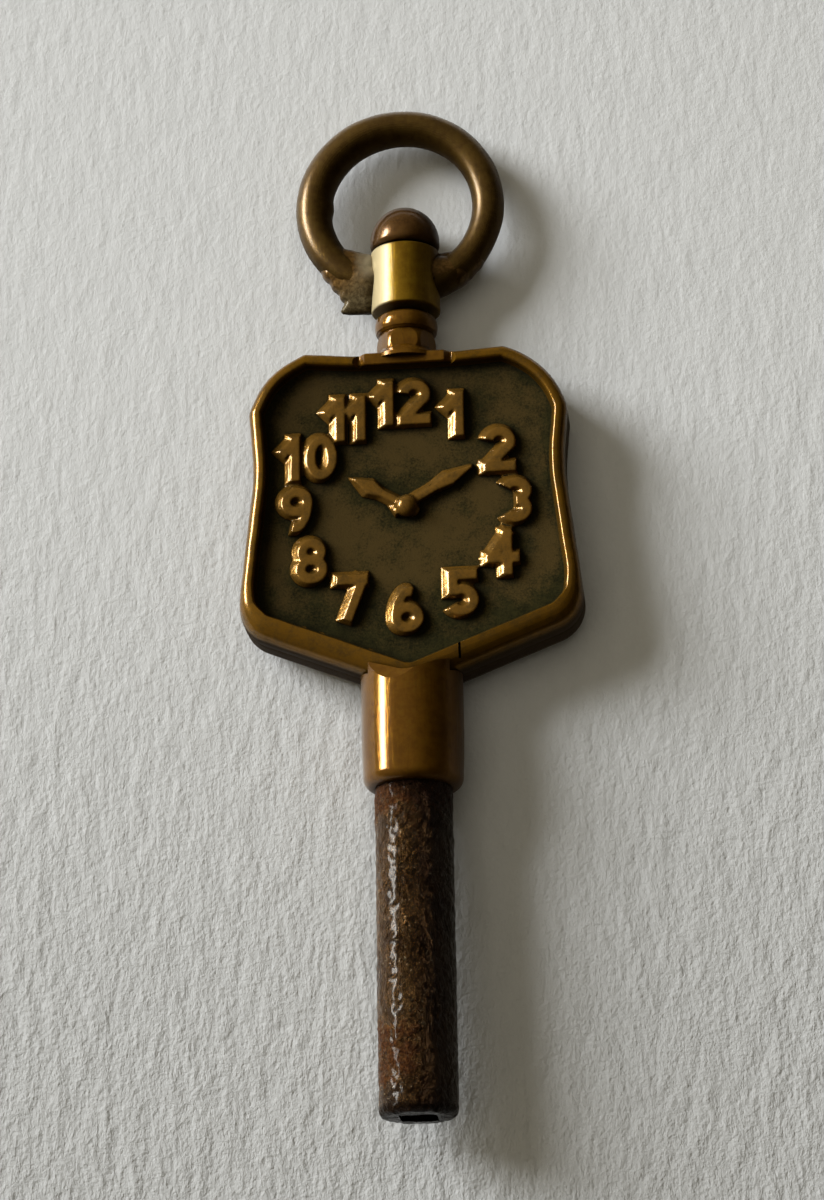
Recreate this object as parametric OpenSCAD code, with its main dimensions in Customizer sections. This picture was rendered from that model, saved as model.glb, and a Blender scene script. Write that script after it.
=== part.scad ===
// Pocket-watch winding key with a swivelling bow.
// The key lies on its back. +Y runs along its axis from the mouth of the pipe to the bow, +Z is up through the
// dial side, and the origin lies on the table under the middle of the key. All sizes are in millimetres.

/* [Winding pipe] */
// Outside diameter of the steel pipe
pipe_d = 3.2; // [2.6:0.1:3.6]
// Length of pipe that shows below the barrel
pipe_show = 13.5; // [11:0.5:20]
// Width of the square socket across its flats
socket_af = 1.5; // [0.8:0.1:1.8]
// Depth of the square socket
socket_depth = 9; // [5:0.5:11]
// Radius of the round-over on the mouth of the pipe
mouth_round = 0.3; // [0.1:0.05:0.4]
// Step down from the pipe to the spigot that is held in the barrel
spigot_step = 0.2; // [0.1:0.05:0.3]
// Width of the flat tang that runs up from the spigot into the shield
pipe_tang_w = 1.8; // [1.2:0.1:2]
// Length of that tang inside the shield
pipe_tang_len = 3.6; // [2:0.2:5]

/* [Barrel] */
// How far the barrel stands out past the pipe, at its middle
barrel_step = 0.52; // [0.45:0.01:0.8]
// Length of the spigot held in the barrel
barrel_seat = 3.8; // [2.5:0.1:6]
// Metal left between the end of the spigot and the tip of the shield
barrel_floor = 0.3; // [0.2:0.05:0.6]
// Reach of the two cheeks of the barrel past the tip of the shield, along its rim
cheek_reach = 1.45; // [1.2:0.05:1.8]
// Width of rim that the cheeks leave bare at their ends
cheek_lip = 0.1; // [0.05:0.05:0.2]
// How far the barrel draws in towards each end
barrel_swell = 0.06; // [0.02:0.02:0.12]
// Radius of the round-over at the lower end of the barrel
barrel_round = 0.3; // [0.1:0.05:0.4]

/* [Shield] */
// Height of the shield from its tip to its top edge
shield_h = 14.8; // [14:0.2:17]
// Length of the straight top edge
top_edge_w = 8.5; // [8:0.1:9]
// Width over the shoulders, before they are rounded
shoulder_w = 13.5; // [13.1:0.1:14]
// Drop from the top edge to the shoulders
shoulder_drop = 1.45; // [1.2:0.05:1.8]
// Width across the waist
waist_w = 13.06; // [12.4:0.02:13.2]
// Drop from the top edge to the waist
waist_drop = 5.2; // [4.4:0.2:6]
// Width over the lower corners, before they are rounded
base_w = 14.6; // [14:0.1:15]
// Rise from the tip of the shield to the lower corners
base_rise = 2.93; // [2.4:0.1:3.2]
// Radius of the lower corners
base_round = 1.6; // [0.8:0.1:1.8]
// Radius of the corners at the ends of the top edge
top_round = 0.5; // [0.2:0.1:1]
// Radius of the wide round of the shoulders
shoulder_round = 2.4; // [1:0.1:2.6]
// Radius of the hollow sides at the waist
waist_round = 9; // [6:0.5:12]
// Radius of the tip
tip_round = 1.6; // [0.3:0.1:2]
// Thickness of one shell, over its rim
shell_t = 1.3; // [1.15:0.05:1.45]
// Width of the raised rim
rim_w = 0.55; // [0.4:0.05:0.7]
// Height of the rim above the field
rim_h = 0.45; // [0.3:0.05:0.5]
// Radius of the worn outer edge of the rim
edge_round = 0.32; // [0.1:0.02:0.36]

/* [Dial relief] */
// Distance from the tip of the shield up to the centre of the dial
dial_rise = 7.9; // [7.6:0.1:8.2]
// Radius of the ring that the numbers stand on, to their middles
dial_r = 4.6; // [4.3:0.05:4.7]
// Height of a figure
figure_h = 1.85; // [1.5:0.05:2]
// Width of a figure
figure_w = 1.08; // [0.9:0.02:1.2]
// Gap between the two figures of a number
figure_gap = 0.1; // [0.05:0.05:0.25]
// Width of a stroke
stroke_w = 0.4; // [0.3:0.01:0.44]
// Height of the relief above the field
relief_h = 0.4; // [0.2:0.05:0.5]
// Length of the hour hand
hour_hand = 2.5; // [2:0.1:2.7]
// Length of the minute hand
minute_hand = 3.2; // [2.8:0.1:3.4]
// Width of the hour hand at its widest
hour_hand_w = 0.66; // [0.5:0.02:0.8]
// Width of the minute hand at its widest
minute_hand_w = 0.56; // [0.5:0.02:0.8]
// Radius of the boss in the middle of the dial
boss_r = 0.5; // [0.4:0.05:0.6]

/* [Neck] */
// Width of the foot let into the top edge of the shield
foot_w = 3.9; // [3.4:0.1:4.6]
// Height of the neck above the shield
neck_h = 2.0; // [1.6:0.1:3]
// Diameter of the bead under the collar
bead_d = 2.7; // [2.4:0.05:3]
// Height of the bead
bead_h = 0.85; // [0.6:0.05:1]
// Diameter of the faceted ball
ball_d = 2.76; // [2.5:0.02:3]
// Width of the faceted ball across its six flats
ball_af = 2.46; // [2.3:0.02:2.5]
// Diameter of the groove between the bead and the ball
groove_d = 2.2; // [2:0.05:2.3]
// Width of the tang below the foot
neck_tang_w = 2.4; // [1.6:0.1:3]
// Length of the tang below the foot
neck_tang_len = 2.4; // [1.5:0.1:3.2]

/* [Swivel pin] */
// Diameter of the shank
pin_d = 1.3; // [1:0.05:1.5]
// Length of shank held in the neck
pin_seat = 2.2; // [1.5:0.1:3]
// Diameter of the domed head
head_d = 3.0; // [2.6:0.05:3.4]
// Height of the straight skirt of the head
head_skirt = 0.75; // [0.4:0.05:1]
// Height of the dome above the skirt
head_dome = 1.25; // [0.8:0.05:1.5]

/* [Bow] */
// Wall of the collar around the pin
collar_wall = 0.78; // [0.6:0.02:0.9]
// Length of the collar
collar_len = 2.8; // [2.4:0.1:3.4]
// Radius of the ring, to the middle of its wire
ring_r = 3.8; // [3.4:0.1:5]
// Diameter of the wire
wire_d = 1.5; // [1.3:0.02:1.56]
// How far the ring was brazed off to the left of the collar
ring_off = 0.15; // [0:0.05:0.3]
// Height on the collar at which the wire meets it
joint_up = 1.5; // [1.3:0.05:1.6]
// How far the braze stands proud of the wire
braze_proud = 0.12; // [0.06:0.02:0.2]
// Length of the spur of braze left at the foot of the left joint
spur_len = 1.0; // [0.6:0.05:1.2]

/* [Fits] */
// Gap in the brazed and driven joints
fit_gap = 0.02; // [0.01:0.005:0.04]
// Radial play of the collar on the pin
run_gap = 0.05; // [0.03:0.01:0.08]
// Play of the collar above the bead
collar_drop = 0.25; // [0.1:0.05:0.4]
// Play of the collar under the head
head_gap = 0.08; // [0.05:0.01:0.15]
// Thickness of both tangs
tang_t = 1.0; // [0.8:0.05:1.1]

/* [Hidden] */
$fn = 64;
brass = "#8a6a2c";
worn_brass = "#6f5226";
yellow_brass = "#b08d35";
rusted_steel = "#4a3a30";
solder = "#6d6a4c";
arc_steps = 7;
bow_steps = 9;
narrow = 0.65;
over = 1;
sphere_fn = 28;

pipe_r = pipe_d / 2;
spigot_r = pipe_r - spigot_step;
barrel_r = pipe_r + barrel_step;
pin_r = pin_d / 2;
collar_r = pin_r + run_gap + collar_wall;
head_r = head_d / 2;
wire_r = wire_d / 2;
notch_d = 0.24;
field_z = shell_t - rim_h;

// Stations along the axis, measured from the mouth of the pipe
barrel_y = pipe_show;
tip_y = barrel_y + barrel_seat + barrel_floor;
top_y = tip_y + shield_h;
dial_y = tip_y + dial_rise;
bead_top_y = top_y + neck_h;
collar_y = bead_top_y + collar_drop;
head_y = collar_y + collar_len + head_gap;
joint_y = collar_y + joint_up;
ring_y = joint_y + sqrt(ring_r * ring_r - collar_r * collar_r);
overall = ring_y + ring_r + wire_r;

// The finished part stands with its middle over the origin and its lowest line on the table
module placed() translate([0, -overall / 2, barrel_r]) children();

// A shape of revolution about the key's axis, drawn with radius along X and distance from the mouth along Y
module turned() rotate([-90, 0, 0]) rotate_extrude() children();

// A round bar on the key's axis from one station to another
module bar(r, y0, y1) translate([0, y0, 0]) rotate([-90, 0, 0]) cylinder(r = r, h = y1 - y0);

// A block centred on the key's axis from one station to another
module block(w, y0, y1, t) translate([-w / 2, y0, -t / 2]) cube([w, y1 - y0, t]);

// A quarter round from angle a0 to a1 about a centre
function arc(c, r, a0, a1) =
    [for (i = [0:arc_steps]) let (a = a0 + (a1 - a0) * i / arc_steps) c + r * [cos(a), sin(a)]];

// Corners of the shield, clockwise from the left end of the top edge: place, then radius. A negative radius marks
// the hollow waist.
shield_right = [
    [[top_edge_w / 2, top_y], top_round],
    [[shoulder_w / 2, top_y - shoulder_drop], shoulder_round],
    [[waist_w / 2, top_y - waist_drop], -waist_round],
    [[base_w / 2, tip_y + base_rise], base_round]
];
shield_left = [for (i = [len(shield_right) - 1:-1:0])
    [[-shield_right[i][0].x, shield_right[i][0].y], shield_right[i][1]]];
shield_corners = concat(shield_right, [[[0, tip_y], tip_round]], shield_left);

function unit(v) = v / norm(v);
function inward(p, q) = let (u = unit(q - p)) [u.y, -u.x];
function cross2(a, b) = a.x * b.y - a.y * b.x;

// Corner i of the shield after every edge has moved inward by d
function moved_corner(i, d) =
    let (n = len(shield_corners),
         p = shield_corners[(i + n - 1) % n][0], c = shield_corners[i][0], q = shield_corners[(i + 1) % n][0],
         n0 = inward(p, c), n1 = inward(c, q))
    c + d * (n0 + n1) / (1 + n0 * n1);

// The rounded outline of the shield, moved inward by d, always with the same number of points
function shield_outline(d) =
    let (n = len(shield_corners), least = 0.03)
    [for (i = [0:n - 1])
        let (p = moved_corner((i + n - 1) % n, d), c = moved_corner(i, d), q = moved_corner((i + 1) % n, d),
             u = unit(p - c), v = unit(q - c),
             half = acos(u * v) / 2,
             given = shield_corners[i][1],
             r = given < 0 ? -given + d : max(given - d, least),
             centre = c + unit(u + v) * r / sin(half),
             start = c + u * r / tan(half) - centre,
             end = c + v * r / tan(half) - centre,
             turn = atan2(cross2(start, end), start * end),
             a0 = atan2(start.y, start.x))
        for (k = [0:arc_steps]) let (a = a0 + turn * k / arc_steps) centre + r * [cos(a), sin(a)]];

// A closed solid through a stack of outlines, each given as [inset, height]
module skinned(levels) {
    rings = [for (l = levels) [for (p = shield_outline(l[0])) [p.x, p.y, l[1]]]];
    n = len(rings[0]);
    last = len(levels) - 1;
    points = [for (r = rings) each r];
    sides = [for (k = [0:last - 1]) for (i = [0:n - 1])
        let (a = k * n + i, b = k * n + (i + 1) % n)
        each [[a, b, b + n], [a, b + n, a + n]]];
    polyhedron(points, concat(sides, [[for (i = [n - 1:-1:0]) i]], [[for (i = [0:n - 1]) last * n + i]]),
               convexity = 6);
}

// One half of the shield, from the middle plane up to its rim, with the recessed field
module shell_blank() {
    wear = [for (a = [0:30:90]) [edge_round * (1 - cos(a)), shell_t - edge_round * (1 - sin(a))]];
    draft = 0.08;
    lip = 0.06;
    skinned(concat([[0, 0]], wear, [[rim_w - lip, shell_t], [rim_w, shell_t - lip], [rim_w + draft, field_z]]));
}

// Pockets for the two tangs and the notch for the foot, in both shells
module shell_cuts() {
    t = tang_t + 2 * fit_gap;
    block(pipe_tang_w + 2 * fit_gap, tip_y - over, tip_y + pipe_tang_len + fit_gap, t);
    block(neck_tang_w + 2 * fit_gap, top_y - rim_w - neck_tang_len - fit_gap, top_y, t);
    block(foot_w + 2 * fit_gap, top_y - rim_w - fit_gap, top_y + over, 2 * shell_t + over);
    foot_notches();
}

// File cuts on both faces where the foot meets the rim
module foot_notches()
    for (side = [-1, 1], face = [-1, 1])
        translate([side * foot_w / 2, top_y + over, face * shell_t]) rotate([90, 0, 0])
            cylinder(r = notch_d, h = rim_w + 2 * over, $fn = 4);

// Half the width and half the height of a figure, to the middle of its strokes
half_w = (figure_w - stroke_w) / 2;
half_h = (figure_h - stroke_w) / 2;

// The figures 0 to 9, in half widths and half heights from their middle: straight strokes between two points, round
// strokes as [centre, radii, first angle, last angle], and closed loops as [centre, radii]
figures = [
    [[], [], [[[0, 0], [1, 1]]]],
    [[[[0, 1], [0, -1]], [[-0.3, 0.8], [-0.9, 0.45]]], [], []],
    [[[[0.72, 0.12], [-0.85, -0.85]], [[-1, -1], [1, -1]]], [[[0, 0.45], [1, 0.55], 170, -40]], []],
    [[], [[[0, 0.5], [1, 0.5], 150, -90], [[0, -0.5], [1, 0.5], 90, -150]], []],
    [[[[0.4, 0.95], [-0.9, -0.2]], [[-1, -0.3], [1.1, -0.3]], [[0.45, 1], [0.45, -1]]], [], []],
    [[[[-0.9, 1], [0.9, 1]], [[-0.9, 1], [-0.9, 0.15]]], [[[-0.05, -0.4], [1.05, 0.6], 125, -150]], []],
    [[], [[[0.15, -0.45], [1.15, 1.45], 180, 75]], [[[0, -0.45], [1, 0.55]]]],
    [[[[-1, 1], [1, 1]], [[0.95, 0.95], [-0.3, -1]]], [], []],
    [[], [], [[[0, 0.52], [0.86, 0.48]], [[0, -0.46], [1, 0.54]]]],
    [[], [[[-0.15, 0.45], [1.15, 1.45], 0, -105]], [[[0, 0.45], [1, 0.55]]]]
];

// A place in a figure
function sized(p) = [p.x * half_w, p.y * half_h];

// Points on an ellipse of a figure, grown by g
function oval(centre, radii, g, a0, a1, steps) =
    [for (i = [0:steps]) let (a = a0 + (a1 - a0) * i / steps)
        sized(centre) + [(radii.x * half_w + g) * cos(a), (radii.y * half_h + g) * sin(a)]];

// A straight stroke between two points
module stroke(a, b) {
    d = b - a;
    translate(a) rotate(atan2(d.y, d.x)) translate([-stroke_w / 2, -stroke_w / 2])
        square([norm(d) + stroke_w, stroke_w]);
}

// A round stroke from one angle to another
module bow(centre, radii, a0, a1)
    polygon(concat(oval(centre, radii, stroke_w / 2, a0, a1, bow_steps),
                   oval(centre, radii, -stroke_w / 2, a1, a0, bow_steps)));

// A closed loop
module loop(centre, radii) {
    steps = 2 * bow_steps;
    last = 360 - 360 / steps;
    difference() {
        polygon(oval(centre, radii, stroke_w / 2, 0, last, steps - 1));
        polygon(oval(centre, radii, -stroke_w / 2, 0, last, steps - 1));
    }
}

// One figure, upright about its middle
module figure(n) {
    for (b = figures[n][0]) stroke(sized(b[0]), sized(b[1]));
    for (b = figures[n][1]) bow(b[0], b[1], b[2], b[3]);
    for (l = figures[n][2]) loop(l[0], l[1]);
}

// The figures of a number, the room that one takes, and the room that the first n of them take
function figures_of(hour) = hour < 10 ? [hour] : [floor(hour / 10), hour % 10];
function room(n) = figure_w * (n == 1 ? narrow : 1) + figure_gap;
function room_to(word, n) = n == 0 ? 0 : room_to(word, n - 1) + room(word[n - 1]);

// One hour's number, upright about its middle
module number(hour) {
    word = figures_of(hour);
    for (i = [0:len(word) - 1])
        translate([room_to(word, i) + room(word[i]) / 2 - room_to(word, len(word)) / 2, 0]) figure(word[i]);
}

// A pointed hand of the dial, along +Y
module hand(length, width) {
    tail = 0.6;
    stem = 0.15;
    point = 0.04;
    polygon([[-stem, -tail], [stem, -tail], [stem, length * 0.45], [width / 2, length * 0.68], [point, length],
             [-point, length], [-width / 2, length * 0.68], [-stem, length * 0.45]]);
}

// Plain dial in relief: hour numbers, two hands and a boss
module dial_relief() {
    sunk = 0.1;
    spread = 60;
    translate([0, dial_y, field_z - sunk]) linear_extrude(relief_h + sunk) {
        for (hour = [1:12]) translate(dial_r * [sin(30 * hour), cos(30 * hour)]) number(hour);
        rotate(spread) hand(hour_hand, hour_hand_w);
        rotate(-spread) hand(minute_hand, minute_hand_w);
        circle(boss_r);
    }
}

module winding_pipe() color(rusted_steel) placed() difference() {
    union() {
        shoulder = barrel_y - fit_gap;
        top = tip_y - barrel_floor - fit_gap;
        turned() polygon(concat([[0, 0]], arc([pipe_r - mouth_round, mouth_round], mouth_round, -90, 0),
                                [[pipe_r, shoulder], [spigot_r, shoulder], [spigot_r, top], [0, top]]));
        block(pipe_tang_w, top - over, tip_y + pipe_tang_len, tang_t);
    }
    block(socket_af, -over, socket_depth, socket_af);
}

module pipe_barrel() color(brass) placed() difference() {
    end = tip_y + cheek_reach;
    low_r = barrel_r - barrel_swell;
    mid = (barrel_y + tip_y) / 2;
    turned() polygon(concat([[0, barrel_y]],
        arc([low_r - barrel_round, barrel_y + barrel_round], barrel_round, -90, 0),
        [[barrel_r, mid], [barrel_r, end], [0, end]]));
    bar(spigot_r + fit_gap, barrel_y - over, tip_y - barrel_floor);
    block(pipe_tang_w + 2 * fit_gap, tip_y - over, end + over, tang_t + 2 * fit_gap);
    translate([0, 0, -shell_t - fit_gap]) linear_extrude(2 * (shell_t + fit_gap))
        polygon(shield_outline(-fit_gap));
    translate([0, 0, -barrel_r - over]) linear_extrude(2 * (barrel_r + over))
        polygon(shield_outline(rim_w - cheek_lip));
}

module front_shell() color(brass) placed() difference() {
    union() {
        shell_blank();
        dial_relief();
    }
    shell_cuts();
}

module back_shell() color(brass) placed() difference() {
    mirror([0, 0, 1]) shell_blank();
    shell_cuts();
}

module neck() color(brass) placed() difference() {
    union() {
        difference() {
            neck_foot();
            foot_notches();
        }
        block(neck_tang_w, top_y - rim_w - neck_tang_len, top_y - rim_w, tang_t);
        neck_ball();
        neck_bead();
    }
    bar(pin_r + fit_gap, bead_top_y - pin_seat - fit_gap, bead_top_y + over);
}

// The foot in the top edge of the shield, rounded over like the rim on both sides of it
module neck_foot() {
    y = top_y - edge_round;
    z = shell_t - edge_round;
    rotate([90, 0, 90]) linear_extrude(foot_w, center = true)
        polygon(concat([[top_y - rim_w, -shell_t]], arc([y, -z], edge_round, -90, 0),
                       arc([y, z], edge_round, 0, 90), [[top_y - rim_w, shell_t]]));
}

// The ball above the foot, cut with six flats, one of them facing up
module neck_ball() {
    ball_h = neck_h - bead_h;
    ball_y = top_y + ball_h / 2;
    flare = 0.2;
    intersection() {
        turned() union() {
            intersection() {
                translate([0, ball_y]) circle(d = ball_d);
                translate([0, top_y - flare]) square([ball_d, ball_h + flare]);
            }
            translate([0, top_y - flare]) square([groove_d / 2, neck_h]);
        }
        translate([0, top_y - flare, 0]) rotate([-90, 0, 0])
            cylinder(d = ball_af / cos(30), h = neck_h + over, $fn = 6);
    }
    turned() polygon([[0, top_y - flare], [ball_d / 2 + flare, top_y - flare], [ball_d / 2 + flare, top_y],
                      [ball_d / 2 - flare, top_y + flare], [0, top_y + flare]]);
}

// The round bead that the collar sits over
module neck_bead() {
    y = bead_top_y - bead_h;
    turned() intersection() {
        translate([bead_d / 2 - bead_h / 2, y + bead_h / 2]) {
            circle(d = bead_h);
            translate([-bead_d, -bead_h / 2]) square([bead_d, bead_h]);
        }
        translate([0, y]) square([bead_d, bead_h]);
    }
}

module swivel_pin() color(worn_brass) placed() {
    skirt_y = head_y + head_skirt;
    r = (head_r * head_r + head_dome * head_dome) / (2 * head_dome);
    turned() union() {
        translate([0, bead_top_y - pin_seat]) square([pin_r, head_y - bead_top_y + pin_seat + head_skirt / 2]);
        translate([0, head_y]) square([head_r, head_skirt]);
        intersection() {
            translate([0, skirt_y + head_dome - r]) circle(r);
            translate([0, skirt_y]) square([head_r, head_dome]);
        }
    }
}

module bow_collar() color(yellow_brass) placed() {
    ease = 0.1;
    bore = pin_r + run_gap;
    turned() polygon([[bore, collar_y], [collar_r - ease, collar_y], [collar_r, collar_y + ease],
                      [collar_r, collar_y + collar_len - ease], [collar_r - ease, collar_y + collar_len],
                      [bore, collar_y + collar_len]]);
}

// The wire ring, closed on itself, before the collar is fitted
module whole_ring(r) translate([-ring_off, ring_y, 0]) rotate_extrude() translate([ring_r, 0]) circle(r);

module bow_ring() color(worn_brass) placed() difference() {
    whole_ring(wire_r);
    bar(collar_r + fit_gap, collar_y - over, collar_y + collar_len + over);
    block(2 * collar_r, collar_y - over, joint_y, wire_d + over);
}

// A lump of braze where the wire meets the collar, rounded through a few balls given as [x, y, radius]
module braze(balls) color(solder) placed() difference() {
    hull() for (b = balls) translate([b[0], b[1], 0]) sphere(b[2], $fn = sphere_fn);
    whole_ring(wire_r + fit_gap);
    bar(collar_r + fit_gap, collar_y - over, collar_y + collar_len + over);
}

module braze_left() {
    lump = wire_r + braze_proud;
    small = 0.3;
    braze([[-collar_r - 0.05, joint_y + 0.15, lump], [-collar_r - 0.9, joint_y + 0.2, lump],
           [-collar_r, collar_y + small, small], [-collar_r - spur_len, collar_y + small, small]]);
}

module braze_right() {
    lump = wire_r + braze_proud;
    small = 0.34;
    braze([[collar_r, joint_y + 0.1, lump], [collar_r + 0.75, joint_y + 0.25, lump],
           [collar_r, collar_y + 1.0, small]]);
}

winding_pipe();
pipe_barrel();
front_shell();
back_shell();
neck();
swivel_pin();
bow_collar();
bow_ring();
braze_left();
braze_right();
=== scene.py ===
"""Looks of a pocket-watch winding key: worn brass, a rusted steel pipe and a bow that swivels."""
import math

import bpy
from mathutils import Matrix, Vector, noise


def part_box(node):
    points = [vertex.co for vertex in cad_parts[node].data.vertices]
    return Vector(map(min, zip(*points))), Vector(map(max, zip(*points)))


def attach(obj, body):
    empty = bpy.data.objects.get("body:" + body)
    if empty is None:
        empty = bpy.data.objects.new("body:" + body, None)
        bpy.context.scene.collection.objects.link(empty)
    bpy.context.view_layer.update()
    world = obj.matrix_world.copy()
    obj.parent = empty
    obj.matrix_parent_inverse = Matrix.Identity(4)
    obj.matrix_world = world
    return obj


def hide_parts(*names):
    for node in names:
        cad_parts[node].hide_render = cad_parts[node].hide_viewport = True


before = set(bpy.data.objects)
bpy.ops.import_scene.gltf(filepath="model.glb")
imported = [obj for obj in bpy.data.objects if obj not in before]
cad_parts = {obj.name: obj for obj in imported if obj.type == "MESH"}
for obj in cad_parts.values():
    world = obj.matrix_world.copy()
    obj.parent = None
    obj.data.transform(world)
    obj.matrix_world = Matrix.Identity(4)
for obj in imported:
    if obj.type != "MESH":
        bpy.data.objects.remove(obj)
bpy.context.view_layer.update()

# Measures in millimetres; places along the key are taken from the mouth of its pipe
MM = 0.001
PIPE_R, MOUTH_EASE = 1.6, 0.3
SOCKET_W, SOCKET_DEPTH = 1.5, 9
BARREL_R, BARREL_FOOT = 2.12, 13.5
TIP, TOP = 17.6, 32.4
SHELL, FIELD = 1.3, 0.85
FOOT_W, FOOT_H = 3.9, 0.55
BALL_Y, BALL_R, FLAT_R = TOP + 0.62, 1.24, 1.13
BEAD_TOP = 34.4
COLLAR_FOOT, COLLAR_TOP, COLLAR_R, BORE_R = 34.65, 37.45, 1.48, 0.72
SHANK_R, HEAD_FOOT, HEAD_R, DOME_H = 0.65, 37.53, 1.5, 1.58
RING_X, RING_Y, RING_R, WIRE_R = -0.15, 39.65, 3.8, 0.75
DIAL_Y, DIAL_R = 25.5, 4.6
FIGURE_H, FIGURE_W, FIGURE_GAP, STROKE = 1.95, 1.3, 0.04, 0.38
RELIEF, RELIEF_FOOT = 0.29, FIELD - 0.1

pipe_low, pipe_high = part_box("winding_pipe")
MOUTH = pipe_low[1]
AXIS = (pipe_low[2] + pipe_high[2]) / 2


def at(x, y, z):
    """A place on the key in metres, from millimetres: y from the mouth, z from the axis."""
    return Vector((x * MM, MOUTH + y * MM, AXIS + z * MM))


def share(value):
    """A value kept between 0 and 1."""
    return max(0.0, min(1.0, value))


# Bench work: small helpers around Blender's own operators

def begin(name):
    """Names the primitive that was just added and puts its place into its mesh."""
    piece = bpy.context.active_object
    piece.name = name
    piece.data.name = name
    bpy.ops.object.transform_apply(location=True, rotation=True, scale=True)
    return piece


def clear_bench():
    """Leaves edit mode and lets go of every piece."""
    if bpy.context.mode != "OBJECT":
        bpy.ops.object.mode_set(mode="OBJECT")
    bpy.ops.object.select_all(action="DESELECT")


def hold(piece):
    """Takes up one piece alone."""
    clear_bench()
    piece.select_set(True)
    bpy.context.view_layer.objects.active = piece


def true_up(piece, gap=0.002):
    """Merges doubled points and turns every face outwards."""
    hold(piece)
    bpy.ops.object.mode_set(mode="EDIT")
    bpy.ops.mesh.select_all(action="SELECT")
    bpy.ops.mesh.remove_doubles(threshold=gap * MM)
    bpy.ops.mesh.normals_make_consistent(inside=False)
    bpy.ops.object.mode_set(mode="OBJECT")


def smooth(piece, degrees):
    """Shades a piece smooth, apart from edges that turn more sharply than this."""
    hold(piece)
    bpy.ops.object.shade_smooth_by_angle(angle=math.radians(degrees))


def work(piece, kind, **settings):
    """Puts a modifier on a piece and applies it."""
    hold(piece)
    tool = piece.modifiers.new(kind.lower(), kind)
    for key, value in settings.items():
        setattr(tool, key, value)
    bpy.ops.object.modifier_apply(modifier=tool.name)


def cut(piece, cutter):
    """Takes a cutter out of a piece and removes the cutter."""
    work(piece, "BOOLEAN", operation="DIFFERENCE", object=cutter, solver="EXACT")
    bpy.data.objects.remove(cutter, do_unlink=True)


def roughen(piece, kind, scale, strength, middle=0.5, group="", **settings):
    """Moves the skin of a piece in and out by a texture of this kind and scale."""
    texture = bpy.data.textures.new(piece.name + " skin", kind)
    texture.noise_scale = scale * MM
    for key, value in settings.items():
        setattr(texture, key, value)
    work(piece, "DISPLACE", texture=texture, texture_coords="LOCAL", strength=strength * MM,
         mid_level=middle, vertex_group=group)


def gather(name, pieces):
    """Joins loose pieces into one."""
    clear_bench()
    for piece in pieces:
        piece.select_set(True)
    bpy.context.view_layer.objects.active = pieces[0]
    bpy.ops.object.join()
    pieces[0].name = name
    pieces[0].data.name = name
    return pieces[0]


def arc(y, r, radius, start, end, steps):
    """Stations [y, r] of a rounded edge; angle 0 points outwards and 90 towards the bow."""
    turns = [math.radians(start + (end - start) * k / steps) for k in range(steps + 1)]
    return [(y + radius * math.sin(a), r + radius * math.cos(a)) for a in turns]


def turned(name, stations, segments=96):
    """Lathe work: a disc at the first station is drawn out and sized at each next one."""
    clear_bench()
    y, r = stations[0]
    bpy.ops.mesh.primitive_circle_add(vertices=segments, radius=r * MM, fill_type="NGON",
                                      location=at(0, y, 0), rotation=(math.pi / 2, 0, 0))
    piece = begin(name)
    bpy.ops.object.mode_set(mode="EDIT")
    bpy.ops.mesh.select_all(action="SELECT")
    for next_y, next_r in stations[1:]:
        bpy.ops.mesh.extrude_region_move(TRANSFORM_OT_translate={"value": (0, (next_y - y) * MM, 0)})
        bpy.ops.transform.resize(value=(next_r / r, 1, next_r / r), center_override=at(0, next_y, 0))
        y, r = next_y, next_r
    bpy.ops.object.mode_set(mode="OBJECT")
    true_up(piece, gap=0.0005)
    return piece


def slab(name, outline, low, high):
    """A flat plate: a disc whose rim is pulled onto an outline, then drawn up."""
    clear_bench()
    bpy.ops.mesh.primitive_circle_add(vertices=len(outline), radius=MM, fill_type="NGON",
                                      location=at(0, 0, low))
    piece = begin(name)
    for point, (x, y) in zip(piece.data.vertices, outline):
        point.co = at(x, y, low)
    bpy.ops.object.mode_set(mode="EDIT")
    bpy.ops.mesh.select_all(action="SELECT")
    bpy.ops.mesh.extrude_region_move(TRANSFORM_OT_translate={"value": (0, 0, (high - low) * MM)})
    bpy.ops.object.mode_set(mode="OBJECT")
    true_up(piece)
    return piece


def block(name, low, high):
    """A box between two corners, in millimetres."""
    clear_bench()
    middle = [(a + b) / 2 for a, b in zip(low, high)]
    bpy.ops.mesh.primitive_cube_add(size=MM, location=at(*middle))
    bpy.context.active_object.scale = [b - a for a, b in zip(low, high)]
    return begin(name)


# Outline of the shield: steps of a rounded corner, and the pitch of points along an edge
CORNER_STEPS, EDGE_PITCH = 9, 0.22


def shield_corners():
    """Corners of the shield, clockwise from the foot, each with its radius; a hollow has a negative one."""
    right = [((2.2, TOP), -4.0), ((4.2, TOP + 0.12), 0.4), ((6.11, TOP - 0.6), 3.9),
             ((6.85, TOP - 2.75), 1.2), ((6.6, TOP - 5.2), -9.0), ((7.38, TIP + 2.78), 1.6)]
    left = [((-7.24, TIP + 2.78), 1.6), ((-6.46, TOP - 5.2), -9.0), ((-6.68, TOP - 2.35), 0.8),
            ((-5.92, TOP - 0.7), 3.2), ((-4.3, TOP + 0.2), 0.3), ((-2.2, TOP), -4.0)]
    return [(Vector(p), r) for p, r in right + [((0, TIP - 0.12), 1.6)] + left]


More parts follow.
